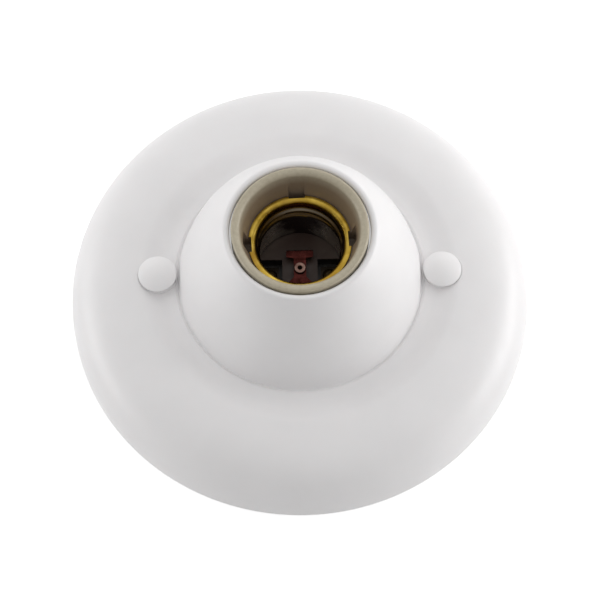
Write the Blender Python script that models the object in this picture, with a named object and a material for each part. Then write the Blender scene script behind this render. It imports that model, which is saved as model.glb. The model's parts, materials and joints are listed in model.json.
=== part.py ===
"""Batten lamp holder: a round white plastic base with a domed boss, a porcelain
socket insert with a threaded brass lamp shell, a sprung centre contact, screw
terminals on the underside and two snap caps over the fixing screw wells.

Units are metres and +Z is up. The origin is on the socket axis, at the plane of
the base's back rim, on which the holder stands and by which it lies on a ceiling
or a wall. The two fixing screws lie on X and the centre contact runs along Y.
"""
import math

import bmesh
import bpy

# Clearance between two pieces that touch or slide on each other
FIT = 0.0003

# Base: a domed ring round a boss, with a shallow valley between them
BASE_WALL = 0.0024
RIM_BREAK = 0.0004
SHOULDER_WIDTH = 0.0230
SHOULDER_POWER = 2.4
CREST_HEIGHT = 0.0190
CREST_TO_VALLEY = 0.0085
VALLEY_WIDTH = 0.0034
VALLEY_DEPTH = 0.0020

# Boss: the dome in the middle of the base, open at its top
BOSS_FOOT_RADIUS = 0.0381
BOSS_BULGE = 0.0024
BOSS_GROOVE_DEPTH = 0.0005
BOSS_GROOVE_WIDTH = 0.0012
LIP_ROUND = 0.0012
LIP_START = math.radians(45)

# Ribs under the ring
RIB_COUNT = 4
RIB_THICKNESS = 0.0016
RIB_BOTTOM = 0.0090

# Fixing screw wells, which come 88.9 mm apart, and their caps
CAP_RADIUS = 0.00595
CAP_GAP = 0.0004
WELL_RADIUS = 0.0052
WELL_SHOULDER_WIDTH = 0.0009
WELL_WALL = 0.0020
WELL_FLOOR = 0.0030
FIXING_HOLE_RADIUS = 0.0023
CAP_PAD_RISE = 0.0016
CAP_RIM_HEIGHT = 0.0007
CAP_DOME_HEIGHT = 0.0017
CAP_CROWN = 0.0014
CAP_SKIRT_WALL = 0.0006
CAP_SKIRT_LENGTH = 0.0055
CAP_SLIT_WIDTH = 0.0008
CAP_SLIT_COUNT = 4
CAP_LEFT_LIFT = 0.0006

# Porcelain insert
INSERT_TOP = 0.0505
INSERT_PROUD = 0.0006
RIM_WIDTH = 0.0028
INSERT_RIM_DEPTH = 0.0063
INSERT_BODY_INSET = 0.00045
INSERT_BOTTOM = 0.0060
COLLAR_GAP = 0.00045
RIM_OUTER_ROUND = 0.0009
RIM_FLAT = 0.0001
MOUTH_TAPER = 0.0018
CUP_FOOT_GAP = 0.00035
FLOOR_TOP = 0.0195
POCKET_FLOOR = 0.0155
TERMINAL_CEILING = 0.0120
CONTACT_RIB_HALF_WIDTH = 0.0055
POCKET_HALF_LENGTH = 0.0042

# Ears of the insert, and the posts of the base that they are screwed to
EAR_STANDOFF = 0.00635
EAR_RADIUS = 0.0046
EAR_TOP = 0.0190
EAR_THICKNESS = 0.0050
POST_RADIUS = 0.0038
POST_WEB_THICKNESS = 0.0018

# Brass lamp shell for a 27 mm lamp thread
SHEET = 0.00045
LIP_PLANE = 0.0413
LIP_WIDTH = 0.00235
LIP_BEND = 0.0015
THREAD_MAJOR = 0.0133
THREAD_MINOR = 0.0122
THREAD_PITCH = 0.003629
THREAD_START = 0.0024
THREAD_TURNS = 2
NOTCH_COUNT = 4
NOTCH_WIDTH = 0.0050
NOTCH_IN_LIP = 0.00105
NOTCH_IN_WALL = 0.0011
NOTCH_DEPTH = 0.0045
NOTCH_TWIST = math.radians(2.5)
TAB_WIDTH = 0.0060
TAB_REACH = 0.0066

# Centre contact, cut from sheet and sprung from one rivet
CONTACT_SHEET = 0.0005
CONTACT_RIVET_OFFSET = 0.0090
CONTACT_FOOT_OVERHANG = 0.0030
CONTACT_FOOT_WIDTH = 0.0090
CONTACT_RISE = 0.0016
CONTACT_NECK_WIDTH = 0.0038
CONTACT_BEND = 0.0066
CONTACT_FLARE = 0.0052
CONTACT_HEAD_RISE = 0.00065
CONTACT_HEAD_START = 0.0037
CONTACT_HEAD_END = 0.0060
CONTACT_HEAD_WIDTH = 0.0084
EYELET_HOLE_RADIUS = 0.0006
EYELET_TUBE_RADIUS = 0.0011
EYELET_FLANGE_RADIUS = 0.0019
EYELET_FLANGE = 0.0004

# Rivets through the floor of the insert
RIVET_SHANK_RADIUS = 0.00135
RIVET_HEAD_RADIUS = 0.0022
RIVET_HEAD_HEIGHT = 0.0010
SHELL_RIVET_OFFSET = 0.0093

# Terminals under the insert
TERMINAL_THICKNESS = 0.0012
TERMINAL_WIDTH = 0.0076
TERMINAL_COLLAR_WALL = 0.0010
TERMINAL_COLLAR_HEIGHT = 0.0017
NEUTRAL_SCREW_INSET = 0.00465
LINE_SCREW_INSET = 0.00715
TERMINAL_END = 0.0040
RECESS_MARGIN = 0.0006
TERMINAL_SCREW_SHANK = 0.0016
TERMINAL_SCREW_HEAD = 0.0031
TERMINAL_SCREW_HEAD_HEIGHT = 0.0021
TERMINAL_SCREW_TIP = 0.0024
CLAMP_WIDTH = 0.0070
CLAMP_THICKNESS = 0.0010

# Screws that hold the insert in the base
INSERT_SCREW_SHANK = 0.0015
INSERT_SCREW_HEAD = 0.0032
INSERT_SCREW_HEAD_HEIGHT = 0.0022
INSERT_SCREW_REACH = 0.0080
INSERT_WASHER_RADIUS = 0.0038
INSERT_WASHER_THICKNESS = 0.0008
SLOT_WIDTH = 0.0008
SLOT_DEPTH = 0.0011

# How finely round shapes are cut
BASE_SIDES = 48
SHOULDER_STEPS = 10
VALLEY_STEPS = 4
BOSS_STEPS = 8
INSERT_SIDES = 40
SHELL_SIDES = 40
SMALL_SIDES = 18
TINY_SIDES = 14
CAP_SIDES = 24
THREAD_ROWS_PER_TURN = 8

# How far a cutter stands clear of what it cuts
OVERSHOOT = 0.0020

# Sizes that follow from the ones above
VALLEY_RADIUS = BOSS_FOOT_RADIUS + VALLEY_WIDTH
VALLEY_HEIGHT = CREST_HEIGHT - VALLEY_DEPTH
CREST_RADIUS = VALLEY_RADIUS + CREST_TO_VALLEY
BASE_RADIUS = CREST_RADIUS + SHOULDER_WIDTH
BASE_TOP = INSERT_TOP - INSERT_PROUD
LIP_RADIUS = THREAD_MAJOR + LIP_WIDTH
CUP_FOOT_RADIUS = LIP_RADIUS + CUP_FOOT_GAP
RIM_MOUTH_RADIUS = CUP_FOOT_RADIUS + MOUTH_TAPER
RIM_INNER_ROUND = RIM_WIDTH - RIM_OUTER_ROUND - RIM_FLAT
INSERT_RIM_RADIUS = RIM_MOUTH_RADIUS + RIM_WIDTH
INSERT_BODY_RADIUS = INSERT_RIM_RADIUS - INSERT_BODY_INSET
OPENING_RADIUS = INSERT_RIM_RADIUS + COLLAR_GAP
EAR_OFFSET = INSERT_BODY_RADIUS + EAR_STANDOFF
NOTCH_INNER = LIP_RADIUS - NOTCH_IN_LIP
NOTCH_OUTER = CUP_FOOT_RADIUS + NOTCH_IN_WALL
NEUTRAL_SCREW_X = INSERT_BODY_RADIUS - NEUTRAL_SCREW_INSET
LINE_SCREW_X = LINE_SCREW_INSET - INSERT_BODY_RADIUS
WELL_X = BOSS_FOOT_RADIUS + CAP_GAP + CAP_RADIUS
CAP_SEAT = VALLEY_HEIGHT + CAP_PAD_RISE
CAP_SKIRT_RADIUS = WELL_RADIUS - FIT
WELL_SHOULDER = CAP_SEAT - CAP_SKIRT_LENGTH - FIT
WELL_BORE_RADIUS = WELL_RADIUS - WELL_SHOULDER_WIDTH
SHELF = LIP_PLANE - SHEET - FIT
BORE_RADIUS = THREAD_MAJOR + SHEET + FIT
THREAD_DEPTH = THREAD_MAJOR - THREAD_MINOR
LIP_BEND_CENTRE = (THREAD_MAJOR + LIP_BEND, LIP_PLANE - LIP_BEND)
SHELL_BOTTOM = FLOOR_TOP + FIT
TAB_BOTTOM = POCKET_FLOOR + FIT
TERMINAL_TOP = TERMINAL_CEILING - FIT
TERMINAL_BOTTOM = TERMINAL_TOP - TERMINAL_THICKNESS
CLAMP_TOP = TERMINAL_BOTTOM - FIT
CLAMP_BOTTOM = CLAMP_TOP - CLAMP_THICKNESS
SCREW_SEAT = CLAMP_BOTTOM - FIT
CONTACT_FOOT_HEIGHT = FLOOR_TOP + FIT + CONTACT_SHEET / 2
EAR_BOTTOM = EAR_TOP - EAR_THICKNESS
POST_BOTTOM = EAR_TOP + FIT
WELLS = (("left", -WELL_X), ("right", WELL_X))
EARS = (("front", -EAR_OFFSET), ("back", EAR_OFFSET))


# Materials

def finish(name, colour, roughness, metallic=0.0):
    """One Principled BSDF material."""
    material = bpy.data.materials.new(name)
    material.use_nodes = True
    shader = material.node_tree.nodes["Principled BSDF"]
    shader.inputs["Base Color"].default_value = (*colour, 1.0)
    shader.inputs["Roughness"].default_value = roughness
    shader.inputs["Metallic"].default_value = metallic
    return material


WHITE_PLASTIC = (0.86, 0.86, 0.87)
PORCELAIN = (0.66, 0.61, 0.54)
BRASS = (0.80, 0.60, 0.20)
COPPER = (0.62, 0.33, 0.24)
ZINC_STEEL = (0.62, 0.63, 0.64)


# Outlines of turned shapes, as lists of (radius, height)

def superellipse(side, top, power, steps):
    """From an upright side over a rounded shoulder to a level top."""
    points = []
    for i in range(steps + 1):
        angle = math.pi / 2 * i / steps
        across = math.cos(angle) ** (2 / power)
        up = math.sin(angle) ** (2 / power)
        points.append((top[0] + (side[0] - top[0]) * across, side[1] + (top[1] - side[1]) * up))
    return points


def s_curve(start, end, steps):
    """From one level stretch to another, without the first point."""
    points = []
    for i in range(1, steps + 1):
        share = i / steps
        blend = (1 - math.cos(math.pi * share)) / 2
        points.append((start[0] + (end[0] - start[0]) * share, start[1] + (end[1] - start[1]) * blend))
    return points


def bulged(start, end, rise, steps):
    """Circular arc between two points, standing out from its chord by rise on the outer side."""
    dx, dz = end[0] - start[0], end[1] - start[1]
    chord = math.hypot(dx, dz)
    radius = chord * chord / (8 * rise) + rise / 2
    out = (dz / chord, -dx / chord)
    middle = ((start[0] + end[0]) / 2, (start[1] + end[1]) / 2)
    centre = (middle[0] - out[0] * (radius - rise), middle[1] - out[1] * (radius - rise))
    first = math.atan2(start[1] - centre[1], start[0] - centre[0])
    last = math.atan2(end[1] - centre[1], end[0] - centre[0])
    return turn(centre, radius, first, last, steps)


def turn(centre, radius, first, last, steps):
    """Points on a circle, from one angle to another."""
    angles = [first + (last - first) * i / steps for i in range(steps + 1)]
    return [(centre[0] + radius * math.cos(a), centre[1] + radius * math.sin(a)) for a in angles]


def inset(points, distance):
    """The outline moved sideways by distance, to the left of its direction."""
    moved = []
    for i, (r, z) in enumerate(points):
        before = points[max(i - 1, 0)]
        after = points[min(i + 1, len(points) - 1)]
        dr, dz = after[0] - before[0], after[1] - before[1]
        length = math.hypot(dr, dz)
        moved.append((r - dz / length * distance, z + dr / length * distance))
    return moved


# Solids

def add_object(name, mesh, material, location=(0, 0, 0)):
    """An object in the scene, with one material."""
    item = bpy.data.objects.new(name, mesh)
    bpy.context.scene.collection.objects.link(item)
    item.location = location
    if material is not None:
        mesh.materials.append(material)
    return item


def mesh_from(name, vertices, faces):
    """A mesh whose faces all point outwards, smooth on round stretches."""
    mesh = bpy.data.meshes.new(name)
    mesh.from_pydata(vertices, [], faces)
    shape = bmesh.new()
    shape.from_mesh(mesh)
    bmesh.ops.recalc_face_normals(shape, faces=shape.faces)
    shape.to_mesh(mesh)
    shape.free()
    mesh.shade_smooth()
    mesh.set_sharp_from_angle(angle=math.radians(35))
    return mesh


def lathe(name, outline, sides, material=None, location=(0, 0, 0)):
    """A solid turned about Z from a closed outline of (radius, height)."""
    vertices, rings = [], []
    for radius, height in outline:
        if radius < 1e-9:
            rings.append([len(vertices)] * sides)
            vertices.append((0, 0, height))
            continue
        rings.append(list(range(len(vertices), len(vertices) + sides)))
        for i in range(sides):
            angle = 2 * math.pi * i / sides
            vertices.append((radius * math.cos(angle), radius * math.sin(angle), height))
    faces = []
    for k, ring in enumerate(rings):
        following = rings[(k + 1) % len(rings)]
        for i in range(sides):
            j = (i + 1) % sides
            corners = list(dict.fromkeys([ring[i], ring[j], following[j], following[i]]))
            if len(corners) > 2:
                faces.append(corners)
    return add_object(name, mesh_from(name, vertices, faces), material, location)


def extrude(name, outline, low, high, plane="XY", material=None, location=(0, 0, 0)):
    """A flat outline given a thickness along the axis that its plane leaves out."""
    order = {"XY": lambda a, b, c: (a, b, c), "XZ": lambda a, b, c: (a, c, b)}[plane]
    vertices = [order(a, b, level) for level in (low, high) for a, b in outline]
    count = len(outline)
    faces = [list(range(count)), list(range(count, 2 * count))]
    for i in range(count):
        j = (i + 1) % count
        faces.append([i, j, count + j, count + i])
    return add_object(name, mesh_from(name, vertices, faces), material, location)


def block(name, low, high, material=None, location=(0, 0, 0), spin=0.0):
    """A box between two corners, turned about its own Z."""
    outline = [(low[0], low[1]), (high[0], low[1]), (high[0], high[1]), (low[0], high[1])]
    item = extrude(name, outline, low[2], high[2], material=material, location=location)
    item.rotation_euler.z = spin
    return item


def rod(name, radius, low, high, centre=(0, 0), sides=SMALL_SIDES):
    """An upright cylinder."""
    outline = [(0, low), (radius, low), (radius, high), (0, high)]
    return lathe(name, outline, sides, location=(centre[0], centre[1], 0))


def combine(target, tools, operation):
    """Cuts away or adds a group of tools, which aren't part of the model."""
    group = bpy.data.collections.new(f"{target.name}_{operation.lower()}")
    bpy.context.scene.collection.children.link(group)
    for tool in tools:
        tool.hide_render = True
        tool.display_type = "WIRE"
        group.objects.link(tool)
    step = target.modifiers.new(group.name, "BOOLEAN")
    step.operation = operation
    step.solver = "EXACT"
    step.operand_type = "COLLECTION"
    step.collection = group


def cut(target, tools):
    combine(target, tools, "DIFFERENCE")


def fuse(target, tools):
    combine(target, tools, "UNION")


# Base

def ring_outline():
    """Outer face of the ring, from the back rim over the crest to the valley."""
    side, top = (BASE_RADIUS, RIM_BREAK), (CREST_RADIUS, CREST_HEIGHT)
    shoulder = superellipse(side, top, SHOULDER_POWER, SHOULDER_STEPS)
    return shoulder + s_curve(top, (VALLEY_RADIUS, VALLEY_HEIGHT), VALLEY_STEPS)


def boss_outline():
    """Outer face of the boss, from its foot up to the rounded lip of the opening."""
    lip_centre = (OPENING_RADIUS + LIP_ROUND, BASE_TOP - LIP_ROUND)
    lip = turn(lip_centre, LIP_ROUND, LIP_START, math.pi, 4)
    side = bulged((BOSS_FOOT_RADIUS, VALLEY_HEIGHT), lip[0], BOSS_BULGE, BOSS_STEPS)
    return side, lip


def base_outline():
    """Closed section of the moulded wall."""
    ring = ring_outline()
    side, lip = boss_outline()
    groove = [
        (BOSS_FOOT_RADIUS + BOSS_GROOVE_WIDTH, VALLEY_HEIGHT),
        (BOSS_FOOT_RADIUS + BOSS_GROOVE_WIDTH / 3, VALLEY_HEIGHT - BOSS_GROOVE_DEPTH),
    ]
    inner_side = inset(side, BASE_WALL)[::2]
    inner_side = [point for point in inner_side if point[0] > OPENING_RADIUS]
    inner_ring = inset(ring, BASE_WALL)[::2]
    bend = (inner_side[0][0], inner_ring[-1][1])
    mouth = (OPENING_RADIUS, inner_side[-1][1])
    back = [(BASE_RADIUS - BASE_WALL, 0), (BASE_RADIUS - RIM_BREAK, 0)]
    return (
        ring
        + groove
        + side[:-1]
        + lip
        + [mouth]
        + inner_side[:0:-1]
        + [bend]
        + inner_ring[:0:-1]
        + back
    )


def wall_middle():
    """Two lines halfway through the wall, in which inner features end: the ring's and the boss's."""
    ring = inset(ring_outline(), BASE_WALL / 2)
    side, _ = boss_outline()
    boss = inset(side, BASE_WALL / 2)
    return ring + [(boss[0][0], ring[-1][1])], boss


def between(low, high, value, first, last):
    """What lies between first and last as value lies between low and high."""
    return first + (last - first) * (value - low) / (high - low)


def height_at(line, radius):
    """Height of a line at a radius, or of its nearer end beyond it."""
    for (r1, z1), (r2, z2) in zip(line, line[1:]):
        if r2 <= radius <= r1:
            return between(r1, r2, radius, z1, z2)
    return line[0][1] if radius > line[0][0] else line[-1][1]


def radius_at(line, height):
    """Radius at which a rising line first reaches a height."""
    for (r1, z1), (r2, z2) in zip(line, line[1:]):
        if z1 <= height <= z2:
            return between(z1, z2, height, r1, r2)
    return line[0][0]


def column(name, line, radius, low, centre, sides=SMALL_SIDES):
    """An upright cylinder whose top follows the line turned about Z."""
    item = rod(name, radius, low, BASE_TOP, centre, sides)
    for vertex in item.data.vertices:
        if vertex.co.z > low:
            vertex.co.z = height_at(line, math.hypot(vertex.co.x + centre[0], vertex.co.y + centre[1]))
    return item


def plate(name, line, inner, low, thickness, spin):
    """A radial wall from an inner radius and a lower edge out and up to the line."""
    outer = radius_at(line, low)
    edge = [point for point in line if point[1] > low and inner < point[0] < outer]
    section = [(inner, low), (outer, low)] + edge + [(inner, height_at(line, inner))]
    item = extrude(name, section, -thickness / 2, thickness / 2, "XZ")
    item.rotation_euler.z = spin
    return item


def well_tubes(line):
    """Tubes that carry the fixing screws."""
    radius = WELL_RADIUS + WELL_WALL
    return [column(f"well_tube_{side}", line, radius, 0, (x, 0), CAP_SIDES) for side, x in WELLS]


def cap_pads():
    """Discs that raise the valley to the height of the caps' seats."""
    radius, low, high = CAP_RADIUS - FIT, WELL_FLOOR, CAP_SEAT + FIT
    return [rod(f"cap_pad_{side}", radius, low, high, (x, 0), CAP_SIDES) for side, x in WELLS]


def well_cuts():
    """Cap seat, wide mouth for the cap's skirt, bore and fixing hole of each well."""
    tools = []
    for side, x in WELLS:
        tools += [
            rod(f"cap_seat_{side}", CAP_RADIUS + FIT, CAP_SEAT, BASE_TOP, (x, 0), CAP_SIDES),
            rod(f"well_bore_{side}", WELL_BORE_RADIUS, WELL_FLOOR, CAP_SEAT, (x, 0), CAP_SIDES),
            rod(f"well_mouth_{side}", WELL_RADIUS, WELL_SHOULDER, CAP_SEAT + OVERSHOOT, (x, 0), CAP_SIDES),
            rod(f"fixing_hole_{side}", FIXING_HOLE_RADIUS, -OVERSHOOT, WELL_FLOOR + OVERSHOOT, (x, 0)),
        ]
    return tools


def ribs(line):
    """Radial ribs under the ring, between the well tubes and the posts."""
    tools = []
    inner = BOSS_FOOT_RADIUS - BASE_WALL / 2
    for i in range(RIB_COUNT):
        angle = 2 * math.pi * (i + 0.5) / RIB_COUNT
        tools.append(plate(f"rib_tool_{i + 1}", line, inner, RIB_BOTTOM, RIB_THICKNESS, angle))
    return tools


def posts(line):
    """Posts inside the boss for the insert's screws, each with a web to the wall."""
    tools = []
    low = POST_BOTTOM + FIT
    for name, y in EARS:
        spin = math.copysign(math.pi / 2, y)
        tools.append(column(f"post_tool_{name}", line, POST_RADIUS, POST_BOTTOM, (0, y)))
        tools.append(plate(f"web_tool_{name}", line, EAR_OFFSET, low, POST_WEB_THICKNESS, spin))
    return tools


def post_cuts():
    """Blind holes for the insert's screws."""
    radius = INSERT_SCREW_SHANK + FIT
    depth = POST_BOTTOM + INSERT_SCREW_REACH + OVERSHOOT
    return [rod(f"post_hole_{name}", radius, POST_BOTTOM - OVERSHOOT, depth, (0, y)) for name, y in EARS]


def make_base():
    plastic = finish("base_plastic", WHITE_PLASTIC, 0.42)
    base = lathe("base_housing", base_outline(), BASE_SIDES, plastic)
    ring_line, boss_line = wall_middle()
    fuse(base, well_tubes(ring_line) + cap_pads() + ribs(ring_line) + posts(boss_line))
    cut(base, well_cuts() + post_cuts())
    return base


def make_cap(side, x, lift):
    """Domed snap cap with a slit skirt that grips the well."""
    plastic = finish(f"cap_plastic_{side}", WHITE_PLASTIC, 0.38)
    rim_top = CAP_RIM_HEIGHT
    radius = (CAP_RADIUS * CAP_RADIUS + CAP_DOME_HEIGHT * CAP_DOME_HEIGHT) / (2 * CAP_DOME_HEIGHT)
    centre = (0, rim_top + CAP_DOME_HEIGHT - radius)
    edge_angle = math.acos(CAP_RADIUS / radius)
    dome = turn(centre, radius, edge_angle, math.pi / 2, 6)
    inner = CAP_SKIRT_RADIUS - CAP_SKIRT_WALL
    ceiling = centre[1] + radius - CAP_CROWN
    ceiling_edge = centre[1] + math.sqrt((radius - CAP_CROWN) ** 2 - inner ** 2)
    outline = (
        [(CAP_RADIUS - CAP_RIM_HEIGHT / 4, 0), (CAP_RADIUS, CAP_RIM_HEIGHT / 4)]
        + dome[:-1]
        + [(0, dome[-1][1]), (0, ceiling), (inner, ceiling_edge), (inner, -CAP_SKIRT_LENGTH)]
        + [(CAP_SKIRT_RADIUS - CAP_SKIRT_WALL / 2, -CAP_SKIRT_LENGTH)]
        + [(CAP_SKIRT_RADIUS, CAP_SKIRT_WALL - CAP_SKIRT_LENGTH), (CAP_SKIRT_RADIUS, 0)]
    )
    cap = lathe(f"screw_cap_{side}", outline, CAP_SIDES, plastic, (x, 0, CAP_SEAT + FIT + lift))
    slits = []
    for i in range(CAP_SLIT_COUNT // 2):
        low = (-CAP_SKIRT_RADIUS - OVERSHOOT, -CAP_SLIT_WIDTH / 2, -CAP_SKIRT_LENGTH - OVERSHOOT)
        high = (CAP_SKIRT_RADIUS + OVERSHOOT, CAP_SLIT_WIDTH / 2, -CAP_SLIT_WIDTH)
        angle = 2 * math.pi * (i + 0.5) / CAP_SLIT_COUNT
        slits.append(block(f"slit_cutter_{side}_{i + 1}", low, high, location=cap.location, spin=angle))
    cut(cap, slits)
    return cap


# Porcelain insert

def insert_outline():
    """Section of the cup: rounded rim, tapering mouth, rounded shelf for the lip, bore and floor."""
    outer_centre = (INSERT_RIM_RADIUS - RIM_OUTER_ROUND, INSERT_TOP - RIM_OUTER_ROUND)
    inner_centre = (RIM_MOUTH_RADIUS + RIM_INNER_ROUND, INSERT_TOP - RIM_INNER_ROUND)
    rim_foot = INSERT_TOP - INSERT_RIM_DEPTH
    shelf_round = LIP_BEND - SHEET - FIT
    return (
        [(0, INSERT_BOTTOM), (INSERT_BODY_RADIUS - INSERT_BODY_INSET, INSERT_BOTTOM)]
        + [(INSERT_BODY_RADIUS, INSERT_BOTTOM + INSERT_BODY_INSET)]
        + [(INSERT_BODY_RADIUS, rim_foot), (INSERT_RIM_RADIUS, rim_foot + INSERT_BODY_INSET)]
        + turn(outer_centre, RIM_OUTER_ROUND, 0, math.pi / 2, 4)
        + turn(inner_centre, RIM_INNER_ROUND, math.pi / 2, math.pi, 5)
        + [(CUP_FOOT_RADIUS, LIP_PLANE), (CUP_FOOT_RADIUS, SHELF)]
        + turn(LIP_BEND_CENTRE, shelf_round, math.pi / 2, math.pi, 3)
        + [(BORE_RADIUS, FLOOR_TOP), (0, FLOOR_TOP)]
    )


def ear_tool():
    """The two ears, as one bar with round ends under the cup."""
    steps = 8
    right = turn((EAR_OFFSET, 0), EAR_RADIUS, -math.pi / 2, math.pi / 2, steps)
    left = turn((-EAR_OFFSET, 0), EAR_RADIUS, math.pi / 2, 3 * math.pi / 2, steps)
    outline = [(-y, x) for x, y in right + left]
    return extrude("ear_tool", outline, EAR_BOTTOM, EAR_TOP)


def notch(name, index, inner, low, high):
    """Box at one of the lip's notches, from an inner radius outwards."""
    angle = NOTCH_TWIST + 2 * math.pi * index / NOTCH_COUNT
    near, far = (inner, -NOTCH_WIDTH / 2, low), (NOTCH_OUTER, NOTCH_WIDTH / 2, high)
    return block(name, near, far, spin=angle)


def make_insert():
    porcelain = finish("insert_porcelain", PORCELAIN, 0.30)
    insert = lathe("porcelain_insert", insert_outline(), INSERT_SIDES, porcelain)
    fuse(insert, [ear_tool()])
    cut(insert, ear_holes() + notch_pockets() + floor_cuts() + terminal_recesses())
    return insert


def ear_holes():
    radius, low, high = INSERT_SCREW_SHANK + FIT, EAR_BOTTOM - OVERSHOOT, EAR_TOP + OVERSHOOT
    return [rod(f"ear_hole_{name}", radius, low, high, (0, y)) for name, y in EARS]


def notch_pockets():
    """Pockets in the cup's wall behind the lip's notches."""
    inner, low, high = BORE_RADIUS - OVERSHOOT, SHELF - NOTCH_DEPTH, INSERT_TOP + OVERSHOOT
    return [notch(f"notch_pocket_{i + 1}", i, inner, low, high) for i in range(NOTCH_COUNT)]


def floor_cuts():
    """Pockets beside the contact rib, and the holes for the rivets."""
    tools = []
    for side, sign in (("left", -1), ("right", 1)):
        near = sign * CONTACT_RIB_HALF_WIDTH
        far = sign * (BORE_RADIUS - FIT)
        low = (min(near, far), -POCKET_HALF_LENGTH, POCKET_FLOOR)
        high = (max(near, far), POCKET_HALF_LENGTH, FLOOR_TOP + OVERSHOOT)
        tools.append(block(f"floor_pocket_{side}", low, high))
    hole = RIVET_SHANK_RADIUS + FIT
    for name, x, y in rivet_places():
        low, high = TERMINAL_CEILING - OVERSHOOT, FLOOR_TOP + OVERSHOOT
        tools.append(rod(f"{name}_hole", hole, low, high, (x, y)))
    tail = RIVET_HEAD_RADIUS + RECESS_MARGIN
    low, high = INSERT_BOTTOM - OVERSHOOT, TERMINAL_CEILING
    tools.append(rod("anchor_recess", tail, low, high, (-SHELL_RIVET_OFFSET, 0)))
    return tools


def terminal_recesses():
    """Channels in the underside for the terminals, open at the side for the wires."""
    tools = []
    half = TERMINAL_WIDTH / 2 + RECESS_MARGIN
    collar = TERMINAL_SCREW_SHANK + FIT + TERMINAL_COLLAR_WALL + FIT
    top = TERMINAL_TOP + TERMINAL_COLLAR_HEIGHT + TERMINAL_SCREW_TIP / 2
    for name, start, screw_x, y in terminal_places():
        outward = math.copysign(1, screw_x)
        inner = start - outward * RECESS_MARGIN
        outer = outward * (INSERT_BODY_RADIUS + OVERSHOOT)
        low = (min(inner, outer), y - half, INSERT_BOTTOM - OVERSHOOT)
        high = (max(inner, outer), y + half, TERMINAL_CEILING)
        tools.append(block(f"{name}_recess", low, high))
        low = TERMINAL_CEILING - OVERSHOOT
        tools.append(rod(f"{name}_screw_hole", collar, low, top, (screw_x, y)))
    return tools


# Brass lamp shell

def shell_rows():
    """Rows of the shell's wall from the lip down: inner point, outer point and thread share."""
    rows = [((LIP_RADIUS, LIP_PLANE), (LIP_RADIUS, LIP_PLANE - SHEET), 0)]
    inner = turn(LIP_BEND_CENTRE, LIP_BEND, math.pi / 2, math.pi, 4)
    outer = turn(LIP_BEND_CENTRE, LIP_BEND - SHEET, math.pi / 2, math.pi, 4)
    rows += [(a, b, 0) for a, b in zip(inner, outer)]
    top = LIP_PLANE - THREAD_START
    count = THREAD_TURNS * THREAD_ROWS_PER_TURN
    for i in range(count + 1):
        turns = i / THREAD_ROWS_PER_TURN
        height = top - turns * THREAD_PITCH
        fade = min(1, 2 * turns, 2 * (THREAD_TURNS - turns))
        rows.append(((THREAD_MAJOR, height), (THREAD_MAJOR + SHEET, height), fade))
    rows.append(((THREAD_MAJOR, SHELL_BOTTOM), (THREAD_MAJOR + SHEET, SHELL_BOTTOM), 0))
    return rows


def shell_radius(radius, height, fade, angle):
    """Radius after rolling the right-hand round thread into the sheet."""
    phase = 2 * math.pi * (LIP_PLANE - height) / THREAD_PITCH + angle
    return radius - fade * THREAD_DEPTH * (1 - math.cos(phase)) / 2


def make_shell():
    brass = finish("shell_brass", BRASS, 0.25, 1.0)
    rows = shell_rows()
    loop = [(inner, fade) for inner, _, fade in rows] + [(outer, fade) for _, outer, fade in reversed(rows)]
    vertices, faces = [], []
    for (radius, height), fade in loop:
        for i in range(SHELL_SIDES):
            angle = 2 * math.pi * i / SHELL_SIDES
            r = shell_radius(radius, height, fade, angle)
            vertices.append((r * math.cos(angle), r * math.sin(angle), height))
    for k in range(len(loop)):
        for i in range(SHELL_SIDES):
            j = (i + 1) % SHELL_SIDES
            here, there = k * SHELL_SIDES, (k + 1) % len(loop) * SHELL_SIDES
            faces.append([here + i, here + j, there + j, there + i])
    shell = add_object("lamp_shell", mesh_from("lamp_shell", vertices, faces), brass)
    fuse(shell, [tab_tool(side, sign) for side, sign in (("left", -1), ("right", 1))])
    low, high = SHELF - OVERSHOOT / 2, LIP_PLANE + OVERSHOOT
    tools = [notch(f"lip_notch_{i + 1}", i, NOTCH_INNER, low, high) for i in range(NOTCH_COUNT)]
    hole = RIVET_SHANK_RADIUS + FIT
    low, high = TAB_BOTTOM - OVERSHOOT / 2, TAB_BOTTOM + OVERSHOOT / 2
    for side, x in (("left", -SHELL_RIVET_OFFSET), ("right", SHELL_RIVET_OFFSET)):
        tools.append(rod(f"tab_hole_{side}", hole, low, high, (x, 0)))
    cut(shell, tools)
    return shell


def tab_tool(side, sign):
    """Tab bent in from the shell's bottom edge, down into a floor pocket."""
    outer = THREAD_MAJOR + SHEET / 3
    inner = outer - SHEET
    outline = [
        (TAB_REACH, TAB_BOTTOM),
        (outer, TAB_BOTTOM),
        (outer, SHELL_BOTTOM + OVERSHOOT / 2),
        (inner, SHELL_BOTTOM + OVERSHOOT / 2),
        (inner, TAB_BOTTOM + SHEET),
        (TAB_REACH, TAB_BOTTOM + SHEET),
    ]
    outline = [(sign * x, z) for x, z in outline]
    return extrude(f"tab_tool_{side}", outline, -TAB_WIDTH / 2, TAB_WIDTH / 2, "XZ")


# Centre contact

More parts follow.
